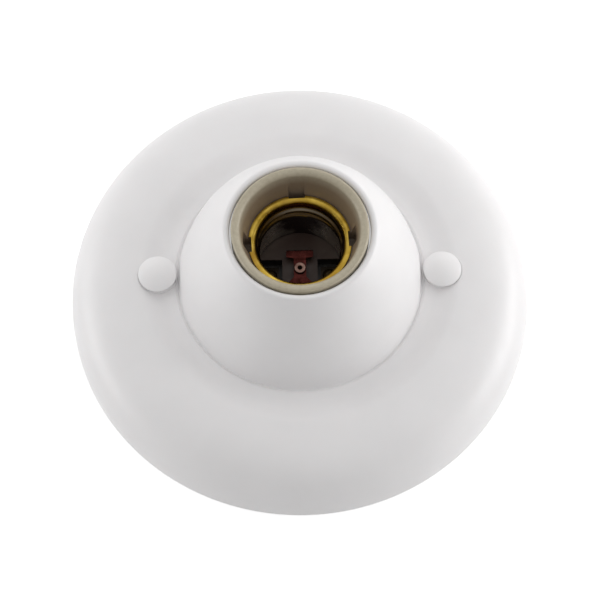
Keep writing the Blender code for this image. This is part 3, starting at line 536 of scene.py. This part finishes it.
# Heights on the shell at which its colour changes, and over what distance
BEND_TOP = LIP_PLANE - 0.0004
BEND_BLEND = 0.0012
BEAD_TOP = LIP_PLANE - 0.0026
BEAD_BLEND = 0.0010
WALL_TOP = SMOOTH_WALL_TOP + 0.0005
WALL_BLEND = 0.0015
TABS_TOP = FLOOR_TOP + 0.0010
TABS_BLEND = 0.0010
POLISH_LOW = LIP_PLANE - 0.0030
POLISH_HIGH = LIP_PLANE - 0.0006
WORN_BLEND = 0.0010

# How far back on the shell's wall its painted reflection of the contact begins, how softly, and how wavy its
# edge is
REFLECTION_FROM = 0.0128
REFLECTION_BLEND = 0.0018
REFLECTION_WAVE = 0.004


def painted_reflection_mask(tree):
    """One on the back of the shell's wall, where the contact's reflection is painted, nothing on its sides
    and front.
    """
    edge = calculate(tree, "MULTIPLY_ADD", noise(tree, 220, 2), REFLECTION_WAVE, along(tree, "Y"))
    return spread(tree, edge, 0.0, 1.0, REFLECTION_FROM, REFLECTION_FROM + REFLECTION_BLEND)


def shell_brass(name):
    """Brass that is bright at the lip and brown in its bend, with painted shade from the bead down, a
    painted reflection of the contact on the back of its wall, and painted shade that makes it black at the
    tabs.
    """
    material, tree, shader = new_material(name, (0.83, 0.62, 0.2), 0.22, 1.0)
    bright = ramp(tree, noise(tree, 180), [(0.36, (0.40, 0.25, 0.03)), (0.64, (0.70, 0.49, 0.09))])
    patches = spread(tree, noise(tree, 130, 2), 0.0, 0.5, 0.5, 0.68)
    # Painted shade: from the bead down the brass is a dark grey-brown
    painted_shade_brass = ramp(tree, noise(tree, 250), [(0.3, (0.15, 0.12, 0.085)), (0.65, (0.20, 0.165, 0.12))])
    clear = ramp(tree, noise(tree, 250), [(0.3, (0.80, 0.76, 0.64)), (0.65, (0.92, 0.88, 0.76))])
    # Painted reflection: a dark brown patch on the back of the wall stands in for the contact mirrored there
    wall_with_reflection = mix(tree, painted_reflection_mask(tree), clear, (0.05, 0.022, 0.015))
    height = along(tree, "Z")
    colour = mix(tree, patches, bright, (0.30, 0.16, 0.03))
    colour = mix(tree, below(tree, height, BEND_TOP, BEND_BLEND), colour, (0.36, 0.23, 0.025))
    colour = mix(tree, below(tree, height, BEAD_TOP, BEAD_BLEND), colour, painted_shade_brass)
    colour = mix(tree, below(tree, height, WALL_TOP, WALL_BLEND), colour, wall_with_reflection)
    # Painted shade: near black at the tabs down in the floor's pockets
    colour = mix(tree, below(tree, height, TABS_TOP, TABS_BLEND), colour, (0.03, 0.024, 0.018))
    tree.links.new(colour, shader.inputs["Base Color"])
    grain = spread(tree, noise(tree, 160, 2), 0.85, 1.15, 0.3, 0.7)
    polish = spread(tree, height, 0.09, 0.30, POLISH_LOW, POLISH_HIGH)
    worn = spread(tree, height, 0.26, 0.0, SMOOTH_WALL_TOP - WORN_BLEND, SMOOTH_WALL_TOP)
    rough = product(tree, grain, calculate(tree, "MAXIMUM", polish, worn))
    tree.links.new(rough, shader.inputs["Roughness"])
    bump(tree, shader, noise(tree, 1500, 2), 0.004, 0.0001)
    return material


# One look for each slot, and one for the eyelet alone
looks = {
    "base_plastic": plastic("look_base_plastic", (0.87, 0.855, 0.857), 0.40),
    "cap_plastic": plastic("look_cap_plastic", (0.88, 0.865, 0.865), 0.38),
    "insert_porcelain": porcelain("look_porcelain"),
    "shell_brass": shell_brass("look_shell_brass"),
    "contact_copper": metal("look_copper", (0.080, 0.020, 0.017), (0.045, 0.011, 0.009), 0.28),
    "contact_eyelet": metal("look_eyelet", (0.26, 0.16, 0.13), (0.15, 0.08, 0.065), 0.26),
    # Painted shade: the rivets' brass is near black, as dark as the shade in the pockets and recesses
    "rivet_brass": metal("look_rivet_brass", (0.07, 0.05, 0.025), (0.035, 0.024, 0.012), 0.5),
    "terminal_brass": metal("look_terminal_brass", (0.74, 0.56, 0.24), (0.50, 0.35, 0.13), 0.34),
    "zinc_steel": metal("look_zinc_steel", (0.60, 0.61, 0.60), (0.42, 0.42, 0.40), 0.32),
}


def dress(item, slot, body, *nodes):
    """Gives a piece its look, and lets it stand for CAD nodes on their body."""
    item.data.materials.clear()
    item.data.materials.append(looks[slot])
    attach(item, body)
    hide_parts(*nodes)


# Base

def base_section():
    """Outer lines of the ring, the boss's side and its lip, as (radius, height)."""
    crest = (CREST_RADIUS, CREST_HEIGHT)
    ring = superellipse((BASE_RADIUS, RIM_BREAK), crest, SHOULDER_POWER, steps=30)
    ring += s_curve(ring[-1], (VALLEY_RADIUS, VALLEY_HEIGHT), steps=12)
    lip_centre = (OPENING_RADIUS + LIP_ROUND, BASE_TOP - LIP_ROUND)
    lip = turn(lip_centre, LIP_ROUND, LIP_START, math.pi, steps=10)
    side = bulged((BOSS_FOOT_RADIUS, VALLEY_HEIGHT), lip[0], BOSS_BULGE, steps=28)
    return ring, side, lip


def height_at(line, radius):
    """Height at a radius of a line that runs inwards."""
    for (r1, z1), (r2, z2) in zip(line, line[1:]):
        if r2 <= radius <= r1:
            return z1 + (z2 - z1) * (radius - r1) / (r2 - r1)
    return line[0][1] if radius > line[0][0] else line[-1][1]


def radius_at(line, height):
    """Radius at a height of a line that rises."""
    for (r1, z1), (r2, z2) in zip(line, line[1:]):
        if z1 <= height <= z2:
            return r1 + (r2 - r1) * (height - z1) / (z2 - z1)
    return line[0][0]


def column(line, radius, low, centre):
    """A round post whose top follows the line of the wall above it."""
    item = rod("column", radius, low, BASE_TOP, centre)
    for vertex in item.data.vertices:
        if vertex.co.z > low:
            vertex.co.z = height_at(line, math.hypot(vertex.co.x + centre[0], vertex.co.y + centre[1]))
    return item


def plate(line, inner, low, thickness, spin):
    """An upright rib whose top follows the line of the wall above it."""
    outer = radius_at(line, low)
    edge = [point for point in line if point[1] > low and inner < point[0] < outer]
    section = [(inner, low), (outer, low)] + edge + [(inner, height_at(line, inner))]
    item = prism("plate", section, -thickness / 2, thickness / 2)
    item.data.transform(Matrix.Rotation(math.pi / 2, 4, "X"))
    item.rotation_euler.z = spin
    return item


def base_outline(ring, side, lip):
    """The outer lines with the groove at the boss's foot, and the inner lines one wall below them."""
    groove = [
        (BOSS_FOOT_RADIUS + BOSS_GROOVE_WIDTH, VALLEY_HEIGHT),
        (BOSS_FOOT_RADIUS + BOSS_GROOVE_WIDTH * 0.7, VALLEY_HEIGHT - BOSS_GROOVE_DEPTH * 0.7),
        (BOSS_FOOT_RADIUS + BOSS_GROOVE_WIDTH / 3, VALLEY_HEIGHT - BOSS_GROOVE_DEPTH),
    ]
    inner_side = [p for p in inset(side, BASE_WALL)[::2] if p[0] > OPENING_RADIUS]
    inner_ring = inset(ring, BASE_WALL)[::2]
    bend = (inner_side[0][0], inner_ring[-1][1])
    outline = ring + groove + side[:-1] + lip + [(OPENING_RADIUS, inner_side[-1][1])]
    outline += inner_side[:0:-1] + [bend] + inner_ring[:0:-1]
    outline += [(BASE_RADIUS - BASE_WALL, 0), (BASE_RADIUS - RIM_BREAK, 0)]
    return outline


def base_supports(ring, side):
    """Well tubes, cap pads, ribs, and the posts with their webs."""
    boss_line = inset(side, BASE_WALL / 2)
    ring_line = inset(ring, BASE_WALL / 2)
    ring_line.append((boss_line[0][0], ring_line[-1][1]))
    tools = []
    for x in WELLS:
        tools.append(column(ring_line, WELL_RADIUS + WELL_WALL, 0, (x, 0)))
        tools.append(rod("pad", CAP_RADIUS - FIT, WELL_FLOOR, CAP_SEAT + FIT, (x, 0)))
    for i in range(RIB_COUNT):
        spin = 2 * math.pi * (i + 0.5) / RIB_COUNT
        tools.append(plate(ring_line, BOSS_FOOT_RADIUS - BASE_WALL / 2, RIB_BOTTOM, RIB_THICKNESS, spin))
    for y in EARS:
        tools.append(column(boss_line, POST_RADIUS, POST_BOTTOM, (0, y)))
        spin = math.copysign(math.pi / 2, y)
        tools.append(plate(boss_line, EAR_OFFSET, POST_BOTTOM + FIT, POST_WEB_THICKNESS, spin))
    return tools


def base_cutters():
    """Cap seat, bore, mouth and hole of each well, and the posts' screw holes."""
    cutters = []
    for x in WELLS:
        cutters.append(rod("seat", CAP_RADIUS + FIT, CAP_SEAT, BASE_TOP, (x, 0), SEAT_SIDES))
        cutters.append(rod("bore", WELL_BORE_RADIUS, WELL_FLOOR, CAP_SEAT, (x, 0)))
        cutters.append(rod("mouth", WELL_RADIUS, WELL_SHOULDER, CAP_SEAT + OVER, (x, 0)))
        cutters.append(rod("hole", FIXING_HOLE_RADIUS, -OVER, WELL_FLOOR + OVER, (x, 0)))
    top = POST_BOTTOM + INSERT_SCREW_REACH + OVER
    for y in EARS:
        cutters.append(rod("post_hole", INSERT_SCREW_SHANK + FIT, POST_BOTTOM - OVER, top, (0, y)))
    return cutters


def base_piece():
    ring, side, lip = base_section()
    base = lathe("base_look", base_outline(ring, side, lip), BASE_SIDES)
    combine(base, base_supports(ring, side), "UNION")
    combine(base, base_cutters(), "DIFFERENCE")
    smooth(base, degrees=30)
    return base


def cap_piece(name, x, lift):
    """Hollow dome with a skirt that two crossing slits divide."""
    radius = (CAP_RADIUS ** 2 + CAP_DOME_HEIGHT ** 2) / (2 * CAP_DOME_HEIGHT)
    centre = (0, CAP_RIM_HEIGHT + CAP_DOME_HEIGHT - radius)
    edge = math.acos(CAP_RADIUS / radius)
    dome = turn(centre, radius, edge, math.pi / 2, steps=16)
    inner = CAP_SKIRT_RADIUS - CAP_SKIRT_WALL
    ceiling = centre[1] + radius - CAP_CROWN
    ceiling_edge = centre[1] + math.sqrt((radius - CAP_CROWN) ** 2 - inner ** 2)
    outline = [(CAP_RADIUS - CAP_RIM_HEIGHT / 4, 0), (CAP_RADIUS, CAP_RIM_HEIGHT / 4)]
    outline += dome[:-1] + [(0, dome[-1][1]), (0, ceiling), (inner, ceiling_edge)]
    outline += [(inner, -CAP_SKIRT_LENGTH), (CAP_SKIRT_RADIUS - CAP_SKIRT_WALL / 2, -CAP_SKIRT_LENGTH)]
    outline += [(CAP_SKIRT_RADIUS, CAP_SKIRT_WALL - CAP_SKIRT_LENGTH), (CAP_SKIRT_RADIUS, 0)]
    place = (x, 0, CAP_SEAT + FIT + lift)
    cap = lathe(name, outline, CAP_SIDES, place)
    slits = []
    for i in range(2):
        low = (-CAP_SKIRT_RADIUS - OVER, -CAP_SLIT_WIDTH / 2, -CAP_SKIRT_LENGTH - OVER)
        high = (CAP_SKIRT_RADIUS + OVER, CAP_SLIT_WIDTH / 2, -CAP_SLIT_WIDTH)
        slits.append(block("slit", low, high, place, math.pi / 2 * (i + 0.5)))
    combine(cap, slits, "DIFFERENCE")
    smooth(cap)
    return cap


# Porcelain insert

def insert_outline():
    """From the middle of the underside round the rim and down the cup to the middle of its floor."""
    outer = (INSERT_RIM_RADIUS - RIM_OUTER_ROUND, INSERT_TOP - RIM_OUTER_ROUND)
    inner = (RIM_MOUTH_RADIUS + RIM_INNER_ROUND, INSERT_TOP - RIM_INNER_ROUND)
    rim_foot = INSERT_TOP - INSERT_RIM_DEPTH
    outline = [(0, INSERT_BOTTOM), (INSERT_BODY_RADIUS - INSERT_BODY_INSET, INSERT_BOTTOM)]
    outline += [(INSERT_BODY_RADIUS, INSERT_BOTTOM + INSERT_BODY_INSET), (INSERT_BODY_RADIUS, rim_foot)]
    outline += [(INSERT_RIM_RADIUS, rim_foot + INSERT_BODY_INSET)]
    outline += turn(outer, RIM_OUTER_ROUND, 0, math.pi / 2, steps=8)
    outline += turn(inner, RIM_INNER_ROUND, math.pi / 2, math.pi, steps=10)
    outline += [(CUP_FOOT_RADIUS, LIP_PLANE), (CUP_FOOT_RADIUS, SHELF)]
    outline += turn(LIP_BEND_CENTRE, SHELF_ROUND, math.pi / 2, math.pi, steps=6)
    outline += [(BORE_RADIUS, FLOOR_TOP), (0, FLOOR_TOP)]
    return outline


def ears():
    """Both ears as one long tongue through the insert."""
    right = turn((EAR_OFFSET, 0), EAR_RADIUS, -math.pi / 2, math.pi / 2, steps=16)
    left = turn((-EAR_OFFSET, 0), EAR_RADIUS, math.pi / 2, 3 * math.pi / 2, steps=16)
    return prism("ears", [(-y, x) for x, y in right + left], EAR_BOTTOM, EAR_TOP)


def notch(index, inner, bottom, top):
    """A cutter for one of the notches in the shell's lip, or for the pocket behind it in the cup's wall."""
    low = (inner, -NOTCH_WIDTH / 2, bottom)
    high = (NOTCH_OUTER, NOTCH_WIDTH / 2, top)
    return block("notch", low, high, spin=NOTCH_TWIST + 2 * math.pi * index / NOTCH_COUNT)


def cup_cutters():
    """Ear holes, the pockets behind the lip's notches, and the floor's pockets and rivet holes."""
    cutters = []
    for y in EARS:
        radius = INSERT_SCREW_SHANK + FIT
        cutters.append(rod("ear_hole", radius, EAR_BOTTOM - OVER, EAR_TOP + OVER, (0, y), SMALL_SIDES))
    for i in range(NOTCH_COUNT):
        pocket = notch(i, BORE_RADIUS - OVER, SHELF - NOTCH_DEPTH, INSERT_TOP + OVER)
        cutters.append(bevelled(pocket, POCKET_EDGE))
    for sign in (-1, 1):
        ends = sorted((sign * CONTACT_RIB_HALF_WIDTH, sign * (BORE_RADIUS - FIT)))
        low = (ends[0], -POCKET_HALF_LENGTH, POCKET_FLOOR)
        high = (ends[1], POCKET_HALF_LENGTH, FLOOR_TOP + OVER)
        cutters.append(block("floor_pocket", low, high))
    anchor = (-SHELL_RIVET_OFFSET, 0)
    for place in ((0, -CONTACT_RIVET_OFFSET), (SHELL_RIVET_OFFSET, 0), anchor):
        low, high = TERMINAL_CEILING - OVER, FLOOR_TOP + OVER
        cutters.append(rod("rivet_hole", RIVET_HOLE, low, high, place, SMALL_SIDES))
    radius, low = RIVET_HEAD_RADIUS + RECESS_MARGIN, INSERT_BOTTOM - OVER
    cutters.append(rod("anchor_recess", radius, low, TERMINAL_CEILING, anchor, RECESS_SIDES))
    return cutters


def terminal_cutters():
    """Channels under the floor for the terminals, open at the side, and their screws' holes."""
    half = TERMINAL_WIDTH / 2 + RECESS_MARGIN
    radius = TERMINAL_SCREW_SHANK + FIT + TERMINAL_COLLAR_WALL + FIT
    bottom = TERMINAL_CEILING - OVER
    top = TERMINAL_CEILING - FIT + TERMINAL_COLLAR_HEIGHT + TERMINAL_SCREW_TIP / 2
    line_end = RIVET_HEAD_RADIUS + RECESS_MARGIN
    neutral_end = SHELL_RIVET_OFFSET - RIVET_HEAD_RADIUS - RECESS_MARGIN
    terminals = (
        (line_end, LINE_SCREW_INSET - INSERT_BODY_RADIUS, -CONTACT_RIVET_OFFSET),
        (neutral_end, INSERT_BODY_RADIUS - NEUTRAL_SCREW_INSET, 0.0),
    )
    cutters = []
    for inner_end, screw_x, y in terminals:
        outward = math.copysign(1, screw_x)
        inner_end -= outward * RECESS_MARGIN
        ends = sorted((inner_end, outward * (INSERT_BODY_RADIUS + OVER)))
        low = (ends[0], y - half, INSERT_BOTTOM - OVER)
        high = (ends[1], y + half, TERMINAL_CEILING)
        cutters.append(block("recess", low, high))
        cutters.append(rod("screw_hole", radius, bottom, top, (screw_x, y), RECESS_SIDES))
    return cutters


def insert_piece():
    insert = lathe("insert_look", insert_outline(), INSERT_SIDES)
    combine(insert, [ears()], "UNION")
    combine(insert, cup_cutters() + terminal_cutters(), "DIFFERENCE")
    smooth(insert)
    return insert


# Lamp shell

def shell_loop():
    """The sheet's closed section, as (radius, height, share of the thread's depth)."""
    edge = SHEET / 2
    lip = turn((LIP_RADIUS - edge, LIP_PLANE - edge), edge, -math.pi / 2, math.pi / 2, steps=6)
    lip += turn(LIP_BEND_CENTRE, LIP_BEND, math.pi / 2, math.pi, steps=12)
    back = turn(LIP_BEND_CENTRE, LIP_BEND - SHEET, math.pi, math.pi / 2, steps=8)
    top = LIP_PLANE - THREAD_START
    wall = []
    for i in range(THREAD_TURNS * THREAD_ROWS_PER_TURN + 1):
        turns = i / THREAD_ROWS_PER_TURN
        fade = min(1, 2 * turns, 2 * (THREAD_TURNS - turns))
        wall.append((top - turns * THREAD_PITCH, fade))
    wall.append((SHELL_BOTTOM, 0))
    loop = [(radius, z, 0) for radius, z in lip]
    loop += [(THREAD_MAJOR, z, fade) for z, fade in wall]
    loop += [(THREAD_MAJOR + SHEET, z, fade) for z, fade in reversed(wall)]
    loop += [(radius, z, 0) for radius, z in back]
    return loop


def shell_sheet():
    """The section turned about Z, with the right-hand round thread rolled into it."""
    loop = shell_loop()
    vertices, faces = [], []
    for radius, height, fade in loop:
        for i in range(SHELL_SIDES):
            angle = 2 * math.pi * i / SHELL_SIDES
            phase = 2 * math.pi * (LIP_PLANE - height) / THREAD_PITCH + angle
            r = radius - fade * THREAD_DEPTH * (1 - math.cos(phase)) / 2
            vertices.append((r * math.cos(angle), r * math.sin(angle), height))
    for k in range(len(loop)):
        here, there = k * SHELL_SIDES, (k + 1) % len(loop) * SHELL_SIDES
        for i in range(SHELL_SIDES):
            j = (i + 1) % SHELL_SIDES
            faces.append([here + i, here + j, there + j, there + i])
    return add("shell_look", vertices, faces)


def shell_tab(sign):
    """A tab that comes down from the shell's wall and turns in over the pocket's floor."""
    far = THREAD_MAJOR + SHEET / 3
    near = far - SHEET
    up = SHELL_BOTTOM + OVER / 2
    outline = [(TAB_REACH, TAB_BOTTOM), (far, TAB_BOTTOM), (far, up), (near, up)]
    outline += [(near, TAB_BOTTOM + SHEET), (TAB_REACH, TAB_BOTTOM + SHEET)]
    tab = prism("tab", [(sign * x, z) for x, z in outline], -TAB_WIDTH / 2, TAB_WIDTH / 2)
    tab.data.transform(Matrix.Rotation(math.pi / 2, 4, "X"))
    return tab


def shell_piece():
    shell = shell_sheet()
    combine(shell, [shell_tab(-1), shell_tab(1)], "UNION")
    cutters = [notch(i, NOTCH_INNER, SHELF - OVER / 2, LIP_PLANE + OVER) for i in range(NOTCH_COUNT)]
    for x in (-SHELL_RIVET_OFFSET, SHELL_RIVET_OFFSET):
        low, high = TAB_BOTTOM - OVER / 2, TAB_BOTTOM + OVER / 2
        cutters.append(rod("tab_hole", RIVET_HOLE, low, high, (x, 0), SMALL_SIDES))
    combine(shell, cutters, "DIFFERENCE")
    smooth(shell, degrees=40)
    return shell


# Pieces that stand for CAD nodes, and the CAD nodes that only get a look

dress(base_piece(), "base_plastic", "base", "base_housing")
dress(cap_piece("cap_left_look", -WELL_X, CAP_LEFT_LIFT), "cap_plastic", "cap_left", "screw_cap_left")
dress(cap_piece("cap_right_look", WELL_X, 0), "cap_plastic", "cap_right", "screw_cap_right")
dress(insert_piece(), "insert_porcelain", "base", "porcelain_insert")
dress(shell_piece(), "shell_brass", "base", "lamp_shell")

replaced = {"base_housing", "screw_cap_left", "screw_cap_right", "porcelain_insert", "lamp_shell"}
slots = {entry["node"]: entry["material_slot"] for entry in frame["record"]["subparts"]}
for name, item in frame["nodes"].items():
    if name in replaced:
        continue
    item.data.materials.clear()
    item.data.materials.append(looks.get(name, looks[slots[name]]))


# Stage, light and camera

FLOOR_HALF = 3.0
FLOOR_GLOW = 0.52

# Brightness on the camera's side and behind the object, near the horizon and high up, then overhead
SKY_LOW = (0.22, 1.26)
SKY_HIGH = (0.67, 1.46)
SKY_OVERHEAD = 0.84
# Sine of the elevation up to which the surroundings are a white backdrop
BACKDROP_TOP = 0.3

# The right lamp's place, which the left one mirrors
LAMP_PLACE = (0.88, 0.05, 0.20)
LAMP_TARGET = (0, 0, 0.01)
LAMP_SIZE = (0.8, 0.36)
LEFT_LAMP_POWER = 2.7
RIGHT_LAMP_POWER = 4.3

# The camera's view, fitted to the photograph's outlines
CAMERA_AZIMUTH = math.radians(-1.3)
CAMERA_ELEVATION = math.radians(66.3)
CAMERA_DISTANCE = 0.560
CAMERA_TARGET = Vector((0, 0, -0.0025))
CAMERA_LENS = 103.8


def seen_rays(tree):
    """One for camera, glossy and transmission rays, nothing for the rays that carry light."""
    path = tree.nodes.new("ShaderNodeLightPath").outputs
    seen = calculate(tree, "MAXIMUM", path["Is Camera Ray"], path["Is Glossy Ray"])
    return calculate(tree, "MAXIMUM", seen, path["Is Transmission Ray"])


def make_floor():
    """White floor that shows the object's shadow and glows for the rays that see it."""
    corners = [(-1, -1), (1, -1), (1, 1), (-1, 1)]
    floor = add("floor", [(FLOOR_HALF * x, FLOOR_HALF * y, 0) for x, y in corners], [(0, 1, 2, 3)])
    material, tree, shader = new_material("floor_white", (0.86, 0.86, 0.86), 0.9)
    glow = node(tree, "ShaderNodeEmission")
    glow.inputs["Color"].default_value = (1, 1, 1, 1)
    strength = calculate(tree, "MULTIPLY", seen_rays(tree), FLOOR_GLOW)
    tree.links.new(strength, glow.inputs["Strength"])
    total = tree.nodes.new("ShaderNodeAddShader")
    tree.links.new(shader.outputs[0], total.inputs[0])
    tree.links.new(glow.outputs[0], total.inputs[1])
    tree.links.new(total.outputs[0], tree.nodes["Material Output"].inputs["Surface"])
    floor.data.materials.append(material)


def make_world():
    """Brightest behind the object, dimmer overhead and on the camera's side, as over a studio table."""
    world = bpy.data.worlds.new("studio")
    bpy.context.scene.world = world
    world.use_nodes = True
    tree = world.node_tree
    background = tree.nodes["Background"]
    background.inputs["Color"].default_value = (1, 1, 1, 1)
    source = tree.nodes.new("ShaderNodeTexCoord")
    split = tree.nodes.new("ShaderNodeSeparateXYZ")
    tree.links.new(source.outputs["Generated"], split.inputs["Vector"])
    back, up = split.outputs["Y"], split.outputs["Z"]
    behind = calculate(tree, "GREATER_THAN", back, 0.0)
    level = tree.nodes.new("ShaderNodeMix")
    tree.links.new(up, level.inputs["Factor"])
    tree.links.new(spread(tree, behind, *SKY_LOW), level.inputs["A"])
    tree.links.new(spread(tree, behind, *SKY_HIGH), level.inputs["B"])
    across = product(tree, back, back, level.outputs["Result"])
    light = calculate(tree, "MULTIPLY_ADD", product(tree, up, up), SKY_OVERHEAD, across)
    low = calculate(tree, "LESS_THAN", up, BACKDROP_TOP)
    pick = tree.nodes.new("ShaderNodeMix")
    pick.inputs["B"].default_value = 1.0
    tree.links.new(product(tree, seen_rays(tree), low), pick.inputs["Factor"])
    tree.links.new(light, pick.inputs["A"])
    tree.links.new(pick.outputs["Result"], background.inputs["Strength"])


def side_lamp(name, side, power):
    """A soft lamp at the right of the object (side 1) or at its left (side -1)."""
    x, y, z = LAMP_PLACE
    place = Vector((side * x, y, z))
    light = bpy.data.lights.new(name, "AREA")
    light.shape = "RECTANGLE"
    light.size, light.size_y = LAMP_SIZE
    light.energy = power
    item = bpy.data.objects.new(name, light)
    bpy.context.scene.collection.objects.link(item)
    item.location = place
    item.rotation_euler = (Vector(LAMP_TARGET) - place).to_track_quat("-Z", "Y").to_euler()


def make_camera():
    back = Vector((
        math.sin(CAMERA_AZIMUTH) * math.cos(CAMERA_ELEVATION),
        -math.cos(CAMERA_AZIMUTH) * math.cos(CAMERA_ELEVATION),
        math.sin(CAMERA_ELEVATION),
    ))
    data = bpy.data.cameras.new("camera")
    data.lens = CAMERA_LENS
    data.sensor_width = 36
    data.clip_start = 0.01
    data.clip_end = 20
    camera = bpy.data.objects.new("camera", data)
    bpy.context.scene.collection.objects.link(camera)
    camera.location = CAMERA_TARGET + back * CAMERA_DISTANCE
    camera.rotation_euler = (-back).to_track_quat("-Z", "Y").to_euler()
    bpy.context.scene.camera = camera


make_floor()
make_world()
side_lamp("left", -1, LEFT_LAMP_POWER)
side_lamp("right", 1, RIGHT_LAMP_POWER)
make_camera()
bpy.context.scene.view_settings.view_transform = "Standard"
